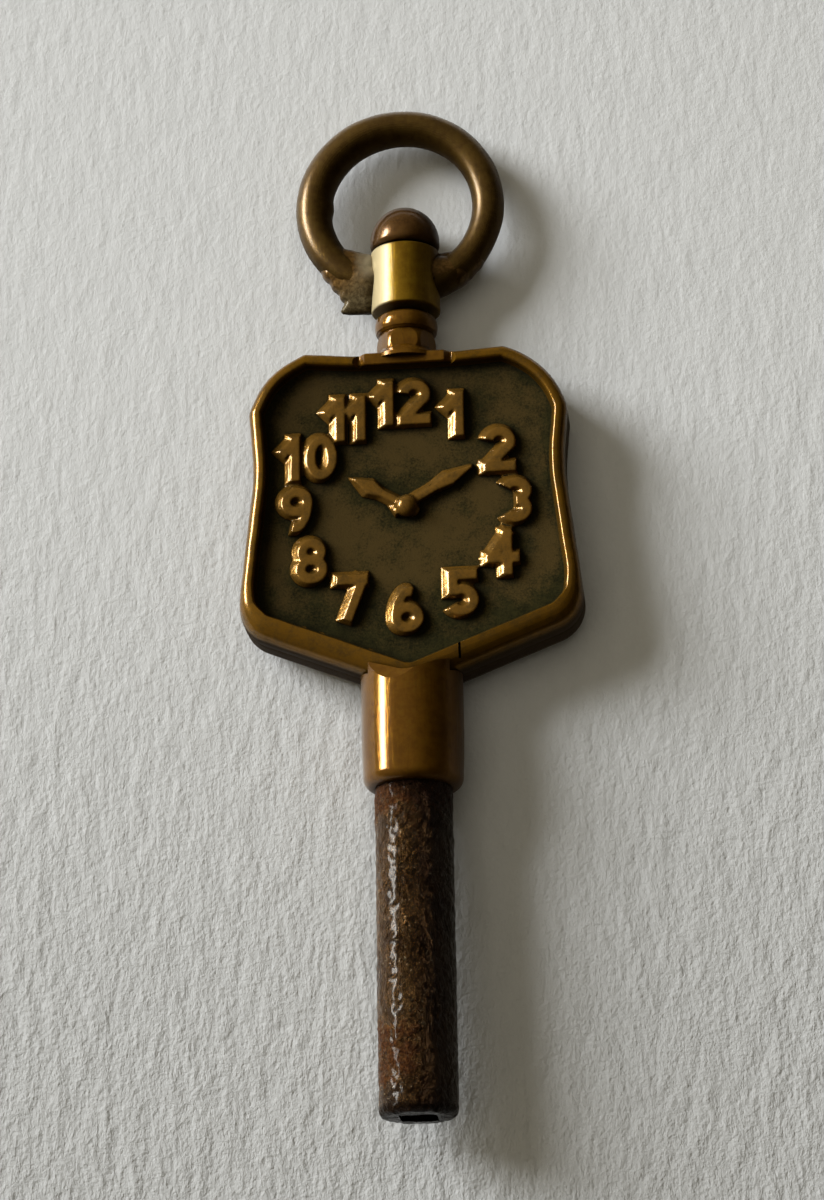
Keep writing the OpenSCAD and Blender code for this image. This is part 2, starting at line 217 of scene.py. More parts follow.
def shield_loop(inset):
    """Points of the shield's outline, moved inward; the same number whatever the inset."""
    corners = shield_corners()
    count = len(corners)

    def inward(a, b):
        run = (b - a).normalized()
        return Vector((run.y, -run.x))

    def moved(i):
        before, here, after = corners[i - 1][0], corners[i][0], corners[(i + 1) % count][0]
        a, b = inward(before, here), inward(here, after)
        return here + (a + b) * inset / (1 + a.dot(b))

    arcs = []
    for i in range(count):
        here = moved(i)
        u = (moved(i - 1) - here).normalized()
        v = (moved((i + 1) % count) - here).normalized()
        half = math.acos(max(-1.0, min(1.0, u.dot(v)))) / 2
        given = corners[i][1]
        radius = inset - given if given < 0 else max(given - inset, 0.15)
        centre = here + (u + v).normalized() * radius / math.sin(half)
        start = here + u * radius / math.tan(half) - centre
        end = here + v * radius / math.tan(half) - centre
        turn = math.atan2(start.x * end.y - start.y * end.x, start.dot(end))
        first = math.atan2(start.y, start.x)
        turns = [first + turn * k / CORNER_STEPS for k in range(CORNER_STEPS + 1)]
        arcs.append([centre + radius * Vector((math.cos(a), math.sin(a))) for a in turns])
    points = []
    for i in range(count):
        points += arcs[i]
        a, b = arcs[i][-1], arcs[(i + 1) % count][0]
        span = (corners[(i + 1) % count][0] - corners[i][0]).length
        cuts = max(1, round(span / EDGE_PITCH) - 6)
        points += [a.lerp(b, k / (cuts + 1)) for k in range(1, cuts + 1)]
    return points


def low_edge(y):
    """1 along the two lower edges of the shield, 0 above them."""
    end, run = TIP + 5.0, 2.2
    t = share((end - y) / run)
    return t * t * (3 - 2 * t)


def struck_section(side, low):
    """Inset, height and unevenness of a shell, level by level from its seam over the rim to the field.

    The rim is wider and rounder along the low edges, where low is 1.
    """
    crown = 0.42 + 0.5 * low if side > 0 else 0.3
    section = [(0.015, 0.0, 0.0), (0.0, 0.03, 0.0), (0.0, 0.35, 0.012)]
    for degrees in range(0, 91, 15):
        a = math.radians(degrees)
        section.append((crown * (1 - math.cos(a)), SHELL - crown * (1 - math.sin(a)), 0.02))
    inner = [(0.47, 1.29), (0.53, 1.25), (0.57, 1.17), (0.595, 1.05), (0.615, 0.93), (0.65, 0.87),
             (0.72, FIELD)]
    return section + [(inset + 0.42 * low, z, 0.016) for inset, z in inner]


def struck_shell(name, side):
    """One half of the shield: wall, worn rim and sunk field, drawn up level by level from the seam."""
    base = shield_loop(0)
    clear_bench()
    bpy.ops.mesh.primitive_circle_add(vertices=len(base), radius=5 * MM, fill_type="NGON",
                                      location=at(0, DIAL_Y, 0))
    piece = begin(name)
    place = piece.data.attributes.new("place", "INT", "POINT")
    for i in range(len(base)):
        place.data[i].value = i

    def level(number):
        """Pulls the points that were just drawn up onto one level of the section."""
        place = piece.data.attributes["place"]
        loops = {}
        for point in piece.data.vertices:
            if not point.select:
                continue
            i = place.data[point.index].value
            inset, z, wander = struck_section(side, low_edge(base[i].y))[number]
            key = round(inset, 4)
            if key not in loops:
                loops[key] = shield_loop(inset)
            spot = loops[key][i]
            shift = wander * noise.noise(Vector((spot.x * 0.9, spot.y * 0.9, 3.0 * side)))
            lift = wander * noise.noise(Vector((spot.x * 1.3, spot.y * 1.3, 7.0 + side)))
            spot = spot + Vector((shift, shift * 0.6))
            point.co = at(spot.x, spot.y, side * (z + lift * 0.7))

    for number in range(len(struck_section(side, 0))):
        bpy.ops.object.mode_set(mode="EDIT")
        if number:
            bpy.ops.mesh.extrude_region_move(TRANSFORM_OT_translate={"value": (0, 0, side * 0.01 * MM)})
        else:
            bpy.ops.mesh.select_all(action="SELECT")
        bpy.ops.object.mode_set(mode="OBJECT")
        level(number)
    piece.data.attributes.remove(piece.data.attributes["place"])
    true_up(piece, gap=0.0002)
    play = 0.02
    half = FOOT_W / 2 + play
    cut(piece, block("foot notch", (-half, TOP - FOOT_H - play, -3), (half, TOP + 1, 3)))
    for end in (-1, 1):
        cut(piece, file_cut(end, side))
    if side > 0:
        cut(piece, block("slit", (2.05, TIP + 1.1, FIELD + 0.05), (2.15, TIP + 1.75, SHELL + 1)))
    return piece


def file_cut(end, side):
    """The corner of a square file, where it cut between the foot and the rim."""
    clear_bench()
    bpy.ops.mesh.primitive_cylinder_add(vertices=4, radius=0.26 * MM, depth=2 * MM,
                                        location=at(end * FOOT_W / 2, TOP, side * SHELL),
                                        rotation=(math.pi / 2, 0, 0))
    return begin("file cut")


# Relief on the front

def straight_stroke(width, first, last):
    """Outline of a straight stroke between two points."""
    run = (last - first).normalized() * width / 2
    across = Vector((-run.y, run.x))
    return [first - run - across, last + run - across, last + run + across, first - run + across]


def round_edge(centre, radii, grow, start, end, steps):
    """Points along one edge of a round stroke: outside its middle line, or inside if grow is negative."""
    turns = [math.radians(start + (end - start) * k / steps) for k in range(steps + 1)]
    return [centre + Vector(((radii.x + grow) * math.cos(t), (radii.y + grow) * math.sin(t)))
            for t in turns]


def round_stroke(width, centre, radii, start, end):
    """Outline of a round stroke about a centre, between two angles."""
    steps = 14
    outer = round_edge(centre, radii, width / 2, start, end, steps)
    inner = round_edge(centre, radii, -width / 2, start, end, steps)
    return outer + inner[::-1]


def slopes():
    """Steps of a struck stroke, from its flat top to its foot: how much wider, how far aside, how high."""
    steps = 6
    for k in range(steps):
        grow = 0.08 * k
        yield grow, Vector((-0.4, 0.22)) * grow, FIELD + RELIEF * (1 - k / steps)


# Figures, in half widths and half heights from their middle: straight strokes, round strokes with the angles
# that they run between, and closed loops
FIGURES = {
    "0": ([], [], [((0, 0), (1, 1))]),
    "1": ([((0, 1), (0, -1)), ((-0.3, 0.8), (-0.9, 0.45))], [], []),
    "2": ([((0.72, 0.12), (-0.85, -0.85)), ((-1, -1), (1, -1))], [((0, 0.45), (1, 0.55), 170, -40)], []),
    "3": ([], [((0, 0.5), (1, 0.5), 150, -90), ((0, -0.5), (1, 0.5), 90, -150)], []),
    "4": ([((0.4, 0.95), (-0.9, -0.2)), ((-1, -0.3), (1.1, -0.3)), ((0.45, 1), (0.45, -1))], [], []),
    "5": ([((-0.9, 1), (0.9, 1)), ((-0.9, 1), (-0.9, 0.15))],
          [((-0.05, -0.4), (1.05, 0.6), 125, -150)], []),
    "6": ([], [((0.15, -0.45), (1.15, 1.45), 180, 75)], [((0, -0.45), (1, 0.55))]),
    "7": ([((-1, 1), (1, 1)), ((0.95, 0.95), (-0.3, -1))], [], []),
    "8": ([], [], [((0, 0.52), (0.86, 0.48)), ((0, -0.46), (1, 0.54))]),
    "9": ([], [((-0.15, 0.45), (1.15, 1.45), 0, -105)], [((0, 0.45), (1, 0.55))]),
}


def figure_step(strokes, here, width, high):
    """One step of a figure about a place, as loose slabs."""
    half = Vector(((FIGURE_W - STROKE) / 2, (FIGURE_H - STROKE) / 2))
    bars, bends, loops = strokes

    def spot(p):
        return here + Vector(p) * half

    pieces = []
    for p, q in bars:
        pieces.append(slab("stroke", straight_stroke(width, spot(p), spot(q)), RELIEF_FOOT, high))
    for p, r, start, end in bends:
        outline = round_stroke(width, spot(p), Vector(r) * half, start, end)
        pieces.append(slab("stroke", outline, RELIEF_FOOT, high))
    for p, r in loops:
        outer, inner = [round_edge(spot(p), Vector(r) * half, grow, 0, 360, 28)[1:]
                        for grow in (width / 2, -width / 2)]
        loop = slab("loop", outer, RELIEF_FOOT, high)
        cut(loop, slab("eye", inner, RELIEF_FOOT - 1, high + 1))
        pieces.append(loop)
    return pieces


def number(word, middle):
    """One hour's number, upright about its middle, as loose slabs."""
    rooms = [FIGURE_W * (0.65 if c == "1" else 1) + FIGURE_GAP for c in word]
    edge = -sum(rooms) / 2
    pieces = []
    for c, room in zip(word, rooms):
        place = middle + Vector((edge + room / 2, 0))
        edge += room
        for grow, aside, high in slopes():
            pieces += figure_step(FIGURES[c], place + aside, STROKE + grow, high)
    return pieces


def hand(length, width, degrees):
    """A hand of the dial, as loose slabs."""
    turn = Matrix.Rotation(math.radians(degrees), 2)
    pieces = []
    for grow, aside, high in slopes():
        stem, leaf, end = 0.13 + grow / 2, (width + grow) / 2, length + grow / 2
        outline = [(-stem, -0.6), (stem, -0.6), (stem, length * 0.45), (leaf, length * 0.68), (0.04, end),
                   (-0.04, end), (-leaf, length * 0.68), (-stem, length * 0.45)]
        outline = [Vector((0, DIAL_Y)) + aside + turn @ Vector(p) for p in outline]
        pieces.append(slab("hand", outline, RELIEF_FOOT, high))
    return pieces


def boss():
    """The rounded stud at the middle of the dial."""
    clear_bench()
    bpy.ops.mesh.primitive_uv_sphere_add(segments=40, ring_count=20, radius=0.5 * MM,
                                         location=at(0, DIAL_Y, FIELD + 0.15))
    bpy.context.active_object.scale = (1, 1, 0.85)
    return begin("boss")


def dial_relief():
    """Plain numbers round a dial with two hands, run together into one skin and worn soft."""
    pieces = hand(2.5, 0.6, 60) + hand(3.2, 0.5, -60) + [boss()]
    for hour in range(1, 13):
        turn = math.radians(30 * hour)
        pieces += number(str(hour), Vector((DIAL_R * math.sin(turn), DIAL_Y + DIAL_R * math.cos(turn))))
    piece = gather("relief", pieces)
    work(piece, "REMESH", mode="VOXEL", voxel_size=0.045 * MM)
    work(piece, "SMOOTH", factor=0.5, iterations=9)
    roughen(piece, "CLOUDS", 0.7, 0.04)
    mark = piece.data.attributes.new("relief", "FLOAT", "POINT")
    for point in mark.data:
        point.value = 1.0
    return piece


# Pieces of the key

def make_front_shell():
    """The front half of the shield, with its dial."""
    piece = gather("front_shell_struck", [struck_shell("front shell", 1), dial_relief()])
    smooth(piece, 40)
    return piece


def make_back_shell():
    """The back half of the shield, with a bare field."""
    piece = struck_shell("back_shell_struck", -1)
    smooth(piece, 40)
    return piece


def make_barrel():
    """The barrel, slimmer at its foot and a little squared, its two cheeks cut along the shield's rim."""
    end, ease, squareness = TIP + 1.45, 0.45, 2.5
    low = BARREL_R - 0.06
    stations = [(BARREL_FOOT, 1.45)] + arc(BARREL_FOOT + ease, low - ease, ease, -90, 0, 9)
    for up, r in ((0.8, low + 0.015), (1.5, low + 0.045), (2.4, BARREL_R), (3.4, BARREL_R), (4.2, BARREL_R)):
        stations.append((BARREL_FOOT + up, r))
    stations += [(end - 0.05, BARREL_R), (end, BARREL_R - 0.05)]
    piece = turned("pipe_barrel_turned", stations, 128)
    for point in piece.data.vertices:
        x, z = point.co.x, point.co.z - AXIS
        square = (abs(x) ** squareness + abs(z) ** squareness) ** (1 / squareness)
        swell = 1 + 0.12 * (math.hypot(x, z) / square - 1)
        point.co.x, point.co.z = x * swell, AXIS + z * swell
    cut(piece, slab("seat of the shield", shield_loop(-0.01), -SHELL - 0.01, SHELL + 0.01))
    cut(piece, slab("inside of the rim", shield_loop(0.47), -4, 4))
    cut(piece, filed_flat())
    true_up(piece, gap=0.001)
    smooth(piece, 15)
    return piece


def filed_flat():
    """The file that took a flat off the barrel's left, just below the rim: a block over a leaning plane."""
    facing = Vector((-0.246, 0.408, 0.88)).normalized()
    clear_bench()
    bpy.ops.mesh.primitive_cube_add(size=4 * MM, location=at(-0.39, 17.75, 2.08) + facing * 2.0 * MM)
    bpy.context.active_object.rotation_euler = facing.to_track_quat("Z", "Y").to_euler()
    return begin("file")


def make_pipe():
    """The steel pipe, its mouth rounded, its skin pitted and crusted with rust."""
    pitch = 0.1
    rows = round((BARREL_FOOT - MOUTH_EASE) / pitch)
    stations = [(0.0, 0.9)] + arc(MOUTH_EASE, PIPE_R - MOUTH_EASE, MOUTH_EASE, -90, 0, 6)
    stations += [(MOUTH_EASE + pitch * k, PIPE_R) for k in range(1, rows + 1)]
    piece = turned("winding_pipe_rusted", stations, 128)
    crust = piece.vertex_groups.new(name="crust")
    for point in piece.data.vertices:
        x, y = point.co.x / MM, (point.co.y - MOUTH) / MM
        below_barrel = 0.25 + 0.75 * share((y - 10.2) / 2.5)
        near_mouth = 0.9 * max(0.0, 1 - abs(y - 2.6) / 2.6) * share(0.6 - x)
        crust.add([point.index], max(below_barrel, near_mouth), "REPLACE")
    roughen(piece, "CLOUDS", 0.55, 0.13, 0.55, "crust", noise_depth=3)
    roughen(piece, "STUCCI", 0.22, 0.06, 0.6, turbulence=4)
    half = SOCKET_W / 2
    cut(piece, block("square socket", (-half, -1, -half), (half, SOCKET_DEPTH, half)))
    smooth(piece, 60)
    return piece


def make_neck():
    """Foot, flare, ball with six flats and bead, as one turned and filed piece."""
    foot = block("foot", (-FOOT_W / 2, TOP - FOOT_H, -SHELL), (FOOT_W / 2, TOP, SHELL))
    for end in (-1, 1):
        for side in (-1, 1):
            cut(foot, file_cut(end, side))
    work(foot, "BEVEL", width=0.1 * MM, segments=3, limit_method="ANGLE", angle_limit=math.radians(60))
    flare = turned("flare", [(TOP - 0.2, 1.62), (TOP - 0.02, 1.6), (TOP + 0.06, 1.5), (TOP + 0.16, 1.36),
                             (TOP + 0.28, 1.24), (TOP + 0.42, 1.14), (TOP + 0.6, 1.08)])
    ball = turned("ball", arc(BALL_Y, 0.03, BALL_R, -60, 60, 18))
    hold(ball)
    bpy.ops.object.mode_set(mode="EDIT")
    for k in range(6):
        a = math.radians(60 * k + 90)
        facing = Vector((math.cos(a), 0, math.sin(a)))
        bpy.ops.mesh.select_all(action="SELECT")
        bpy.ops.mesh.bisect(plane_co=at(0, BALL_Y, 0) + facing * FLAT_R * MM, plane_no=facing, use_fill=True,
                            clear_outer=True, threshold=0.0001 * MM)
    bpy.ops.object.mode_set(mode="OBJECT")
    true_up(ball)
    work(ball, "BEVEL", width=0.03 * MM, segments=2, limit_method="ANGLE", angle_limit=math.radians(25))
    half, ease, shoulder = 0.425, 0.16, 1.1
    stations = arc(BEAD_TOP - 2 * half + ease, shoulder, ease, -90, -25, 5)
    stations += arc(BEAD_TOP - half, 0.55, 0.8, -22, 22, 8)
    stations += arc(BEAD_TOP - ease, shoulder, ease, 25, 90, 5)
    bead = turned("bead", stations)
    core = turned("core", [(TOP, 1.0), (TOP + 0.5, 0.98), (BEAD_TOP - 0.3, 0.98), (BEAD_TOP - 0.02, 0.9)],
                  64)
    piece = gather("neck_filed", [foot, flare, ball, bead, core])
    smooth(piece, 32)
    return piece


def make_pin():
    """Shank, skirt and dome of the swivel pin."""
    ease, skirt = 0.3, HEAD_FOOT + 0.42
    stations = [(TOP, SHANK_R), (HEAD_FOOT - 0.01, SHANK_R), (HEAD_FOOT, 1.1)]
    stations += arc(HEAD_FOOT + ease, HEAD_R - ease, ease, -80, 0, 6) + [(HEAD_FOOT + 0.36, HEAD_R)]
    for degrees in (0, 8, 16, 25, 34, 43, 52, 61, 70, 78, 84, 89):
        a = math.radians(degrees)
        stations.append((skirt + DOME_H * math.sin(a), HEAD_R * math.cos(a)))
    piece = turned("swivel_pin_domed", stations)
    smooth(piece, 45)
    return piece


def make_collar():
    """The collar, its edges eased by wear."""
    ease, face = 0.09, 1.3
    stations = [(COLLAR_FOOT, BORE_R), (COLLAR_FOOT, face)]
    stations += arc(COLLAR_FOOT + ease, COLLAR_R - ease, ease, -85, 0, 4)
    stations += [(COLLAR_FOOT + 0.1 + 0.2 * k, COLLAR_R) for k in range(1, 13)]
    stations += arc(COLLAR_TOP - ease, COLLAR_R - ease, ease, 0, 85, 4)
    stations += [(COLLAR_TOP, face), (COLLAR_TOP, BORE_R)]
    piece = turned("bow_collar_rubbed", stations)
    smooth(piece, 45)
    return piece


def make_ring():
    """The wire of the bow, open where the collar sits and a little thicker towards its right end."""
    clear_bench()
    bpy.ops.mesh.primitive_torus_add(major_segments=180, minor_segments=48, major_radius=RING_R * MM,
                                     minor_radius=WIRE_R * MM, location=at(RING_X, RING_Y, 0))
    piece = begin("bow_ring_wire")
    bpy.ops.object.mode_set(mode="EDIT")
    bpy.ops.mesh.select_all(action="DESELECT")
    bpy.ops.object.mode_set(mode="OBJECT")
    for point in piece.data.vertices:
        x, y = point.co.x / MM, (point.co.y - MOUTH) / MM
        point.select = abs(x) < 1.2 and y < RING_Y
    bpy.ops.object.mode_set(mode="EDIT")
    bpy.ops.mesh.delete(type="VERT")
    bpy.ops.mesh.select_all(action="SELECT")
    bpy.ops.mesh.fill_holes(sides=0)
    bpy.ops.object.mode_set(mode="OBJECT")
    for point in piece.data.vertices:
        x, y = point.co.x / MM - RING_X, (point.co.y - MOUTH) / MM - RING_Y
        z = (point.co.z - AXIS) / MM
        along = math.hypot(x, y)
        reach = share((-y - 1.9) / 1.6)
        grow = 0.98 + 0.08 * (y - x) / along / 1.41 + (0.14 if x > 0 else 0.0) * reach * reach
        grow += 0.03 * noise.noise(Vector((x, y, z)) * 0.7)
        knot = math.exp(-((x + RING_R - WIRE_R) ** 2 + (y - 0.1) ** 2) / 0.12)
        radial = RING_R + (along - RING_R) * grow - 0.1 * knot
        point.co = at(RING_X + x * radial / along, RING_Y + y * radial / along, z * grow)
    true_up(piece)
    smooth(piece, 60)
    return piece


def lump(name, runs, rough):
    """Braze: drops along each run from (x, y, r) to (x, y, r), flowed into one skin and relaxed."""
    drops = 7
    pieces = []
    for first, last in runs:
        for k in range(drops):
            x, y, r = Vector(first).lerp(Vector(last), k / (drops - 1))
            clear_bench()
            bpy.ops.mesh.primitive_uv_sphere_add(segments=24, ring_count=12, radius=r * MM,
                                                 location=at(x, y, 0))
            pieces.append(begin("drop"))
    piece = gather(name, pieces)
    work(piece, "REMESH", mode="VOXEL", voxel_size=0.045 * MM)
    work(piece, "SMOOTH", factor=0.6, iterations=24)
    roughen(piece, "CLOUDS", 0.4, rough, noise_depth=1)
    smooth(piece, 80)
    return piece


def make_braze_left():
    """The web of braze at the left joint, with its spur."""
    runs = [((-3.35, 37.5, 0.56), (-1.6, 36.85, 0.64)), ((-3.25, 37.2, 0.60), (-1.6, 36.14, 0.82)),
            ((-3.1, 36.75, 0.54), (-1.6, 35.8, 0.72)), ((-2.8, 36.2, 0.46), (-1.6, 35.4, 0.56)),
            ((-2.5, 35.65, 0.38), (-1.6, 35.15, 0.43)), ((-2.3, 35.2, 0.32), (-2.68, 34.92, 0.16)),
            ((-2.45, 34.98, 0.24), (-1.55, 35.0, 0.3))]
    return lump("braze_left_lump", runs, 0.025)


def make_braze_right():
    """The fillet that carries the wire onto the right of the collar."""
    runs = [((1.4, 36.36, 0.86), (2.1, 36.46, 0.74)), ((2.1, 36.46, 0.74), (2.85, 37.05, 0.6)),
            ((1.4, 36.95, 0.42), (2.45, 37.0, 0.5))]
    return lump("braze_right_fillet", runs, 0.015)


# Finishes: the share of its colour that a side turned away from the window keeps under painted shade, and
# the black of painted shade and old grime
SHADED_SHARE = 0.25
GRIME_AND_SHADE = (0.003, 0.002, 0.001)


class Field:
    """A value, colour or vector that varies over a surface: one output of a material's nodes."""

    def __init__(self, tree, socket):
        self.tree, self.socket = tree, socket

    def node(self, kind, settings=None, sockets=None, out=0):
        """Adds any node: its settings first, then the values or links of its sockets."""
        made = self.tree.nodes.new(kind)
        for key, value in (settings or {}).items():
            setattr(made, key, value)
        for key, value in (sockets or {}).items():
            socket = made.inputs[key]
            if isinstance(value, Field):
                self.tree.links.new(value.socket, socket)
            elif socket.type == "RGBA":
                socket.default_value = (*value, 1)
            else:
                socket.default_value = value
        return Field(self.tree, made.outputs[out])

    def math(self, operation, first, second):
        return self.node("ShaderNodeMath", {"operation": operation}, {0: first, 1: second})

    def __add__(self, other):
        return self.math("ADD", self, other)

    def __radd__(self, other):
        return self.math("ADD", other, self)

    def __sub__(self, other):
        return self.math("SUBTRACT", self, other)

    def __rsub__(self, other):
        return self.math("SUBTRACT", other, self)

    def __mul__(self, other):
        return self.math("MULTIPLY", self, other)

    def __rmul__(self, other):
        return self.math("MULTIPLY", other, self)

    def __pow__(self, other):
        return self.math("POWER", self, other)

    def __rpow__(self, other):
        return self.math("POWER", other, self)

    def larger(self, other):
        return self.math("MAXIMUM", self, other)

    def smaller(self, other):
        return self.math("MINIMUM", self, other)

    def size(self):
        """The value without its sign."""
        return self.node("ShaderNodeMath", {"operation": "ABSOLUTE"}, {0: self})

    def between(self, low, high, start=0.0, end=1.0):
        """start below low, end above high, and smooth between them."""
        return self.node("ShaderNodeMapRange", {"interpolation_type": "SMOOTHSTEP"},
                         {0: self, 1: low, 2: high, 3: start, 4: end})

    def mix(self, first, second):
        """One colour where this value is 0, the other where it is 1."""
        return self.node("ShaderNodeMix", {"data_type": "RGBA"}, {0: self, 6: first, 7: second}, out=2)


class Finish:
    """A material under way: its shader, and places on the key in millimetres."""

    def __init__(self, name):
        self.material = bpy.data.materials.new(name)
        self.material.use_nodes = True
        tree = self.material.node_tree
        self.shader = tree.nodes["Principled BSDF"]
        self.make = Field(tree, None).node
        place = self.make("ShaderNodeTexCoord", out="Object")
        place = self.make("ShaderNodeVectorMath", {"operation": "SUBTRACT"}, {0: place, 1: (0, MOUTH, AXIS)})
        self.place = self.make("ShaderNodeVectorMath", {"operation": "SCALE"}, {0: place, "Scale": 1000})
        self.x = self.make("ShaderNodeSeparateXYZ", sockets={0: self.place}, out=0)
        self.y = self.make("ShaderNodeSeparateXYZ", sockets={0: self.place}, out=1)
        self.z = self.make("ShaderNodeSeparateXYZ", sockets={0: self.place}, out=2)
        normal = self.make("ShaderNodeTexCoord", out="Normal")
        self.facing = self.make("ShaderNodeSeparateXYZ", sockets={0: normal}, out=2)

    def stretched(self, scale, turn):
        """Places for a pattern that is drawn out and turned."""
        return self.make("ShaderNodeMapping", sockets={0: self.place, "Rotation": turn, "Scale": scale})

    def noise(self, scale, detail, roughness, place=None):
        """A cloudy pattern from 0 to 1."""
        return self.make("ShaderNodeTexNoise", sockets={"Vector": place or self.place, "Scale": scale,
                                                        "Detail": detail, "Roughness": roughness})

    def cells(self, scale):
        """Distance to the nearest of many scattered points."""
        return self.make("ShaderNodeTexVoronoi", sockets={"Vector": self.place, "Scale": scale})

    def hollow(self, distance, side=None):
        """1 in the open, towards 0 in recesses within a distance in millimetres; or seen from one side."""
        sockets = {"Distance": distance * MM}
        if side:
            sockets["Normal"] = self.make("ShaderNodeCombineXYZ", sockets=dict(enumerate(side)))
        return self.make("ShaderNodeAmbientOcclusion", {"samples": 8}, sockets, out="AO")

    def lee(self, low=0.42, high=0.72, side=(-0.74, 0.38, 0.55)):
        """Painted shade: 1 on the side turned towards the window, less on the side turned away from it."""
        return self.hollow(5, side).between(low, high, SHADED_SHARE, 1.0)

    def scratches(self, turn, scale):
        """Fine straight rubs in one direction."""
        run = self.noise(scale, 3, 0.6, self.stretched((1.0, 0.06, 1.0), turn))
        return run.between(0.5, 0.66)

    def wear(self, colour, metallic, roughness, height, depth, film=0.0, haze=0.16):
        """Feeds the shader. The film is the clear skin that handling leaves, and haze is how dull it is."""
        link = self.material.node_tree.links.new
        self.shader.inputs["Specular IOR Level"].default_value = 0.06
        self.shader.inputs["Coat Roughness"].default_value = haze
        values = {"Base Color": colour, "Metallic": metallic, "Roughness": roughness, "Coat Weight": film}
        for key, value in values.items():
            if isinstance(value, Field):
                link(value.socket, self.shader.inputs[key])
            else:
                self.shader.inputs[key].default_value = value
        sockets = {"Strength": 1.0, "Distance": depth * MM, "Height": height}
        link(self.make("ShaderNodeBump", sockets=sockets).socket, self.shader.inputs["Normal"])
        return self.material


def struck_brass(name, dark, olive, brown, gold, tan, wall):
    """Struck brass: olive-brown patina in the field, worn gold on rim and relief, corners black with painted
    shade and grime, painted shade and shadow on the walls and on the side away from the window.
    """
    f = Finish(name)
    relief = f.make("ShaderNodeAttribute", {"attribute_name": "relief"}, out="Fac")
    rounded = f.z.between(0.45, 0.8) * (1 - f.facing.size().between(0.85, 0.97))
    high = f.z.size().between(0.92, 1.02).larger(rounded)
    upright = (1 - f.facing.size().between(0.3, 0.75)) * (1 - high)
    blotch = f.noise(0.55, 5, 0.6)
    stain = f.noise(1.9, 5, 0.62)
    grain = f.noise(11, 5, 0.7)
    pits = f.cells(16)
    open_air = f.hollow(0.3)
    wide = f.hollow(1.1)
    # Painted shadow: the field goes black beside rims and relief, on the side away from the window.
    lee = f.lee(0.5, 0.64)
    bare = blotch * 0.6 + grain * 0.4 + wide * 0.6 - f.y.between(TIP + 1.9, TIP + 5.9, 0.12, 0.0)
    field = (grain * 0.55 + stain * 0.45).between(0.34, 0.6).mix(dark, olive)
    field = bare.between(0.94, 1.14).mix(field, brown)
    field = lee.mix(GRIME_AND_SHADE, field)
    # Painted shade: upright walls take the near-black brown wall colour.
    field = upright.mix(field, wall)
    tops = relief.mix(gold, tan)
    tops = (stain * 0.7 + grain * 0.5).between(0.5, 0.8, 0.0, 0.6).mix(tops, brown)
    # Painted shade: rim and relief tops go near black on the side turned from the window.
    unshaded_share = f.lee()
    tops = unshaded_share.mix((0.012, 0.006, 0.002), tops)
    colour = high.mix(field, tops)
    # Painted shade with grime: recesses go black.
    shut = open_air.between(0.2, 0.6)
    colour = shut.mix(GRIME_AND_SHADE, colour)
    metal = shut * (0.04 + high * 0.5 + upright * 0.1)
    rough = 0.75 - high * 0.57 - upright * 0.1 + grain * 0.1 - f.scratches((0, 0, 0.5), 5.0) * 0.05
    height = grain * (0.5 - high * 0.35) + pits.smaller(0.35) * (1 - high) * 0.9 + stain * 0.5
    film = high * shut * unshaded_share.between(SHADED_SHARE, 1.0) * f.y.between(TOP - 0.8, TOP - 0.3, 0.9, 0.25)
    return f.wear(colour, metal, rough, height, 0.03, film)


def rubbed_brass(name, deep, gold, olive, bare=0.55, mottle=0.5, haze=0.14, braze_highlight=None, lee=(), film=0.95):
    """Turned brass: browned, mottled with olive, with painted shade on the side turned from the window, and
    painted shade with grime in its recesses.
    """
    f = Finish(name)
    blotch = f.noise(0.9, 5, 0.6)
    stain = f.noise(3.1, 5, 0.62)
    grain = f.noise(16, 3, 0.6)
    fine = f.scratches((0.2, 0.1, 0.9), 7.0) + f.scratches((0, 0, -0.7), 6.0)
    open_air = f.hollow(0.3)
    colour = (stain * 0.6 + blotch * 0.5).between(0.4, 0.72).mix(deep, gold)
    colour = (stain + grain * 0.4).between(0.68, 0.9, 0.0, mottle).mix(colour, olive)
    rough = haze - 0.04 + stain * 0.12 + grain * 0.05
    unshaded_clean = open_air.between(0.3, 0.72)
    metal = bare
    if braze_highlight:
        # Pale braze on the left, also a painted highlight on the side towards the window, less metallic and
        # rougher.
        braze_highlight_mask = braze_highlight(f, stain)
        colour = braze_highlight_mask.mix(colour, (0.72, 0.60, 0.34))
        rough = rough + braze_highlight_mask * 0.12
        unshaded_clean = unshaded_clean.larger(braze_highlight_mask)
        metal = bare - braze_highlight_mask * 0.65
    unshaded_share = f.lee(*lee)
    # Painted shade towards near black on the side turned from the window, and painted shade with grime in
    # recesses.
    colour = (unshaded_clean * (0.06 + unshaded_share * 0.94)).mix((0.004, 0.0025, 0.001), colour)
    rough = rough + (1 - unshaded_clean * unshaded_share) * 0.3
    height = grain * 0.12 + stain * 0.6 - fine * 0.18
    film = unshaded_clean * unshaded_share.between(SHADED_SHARE, 1.0) * film
    return f.wear(colour, unshaded_clean * metal, rough, height, 0.012, film, haze)


def left_wash(f, stain):
    """Pale braze over the left of the collar, the side towards the window, also standing as a painted
    highlight there.
    """
    return (f.x + stain * 0.4).between(-0.65, -0.1, 0.95, 0.0)


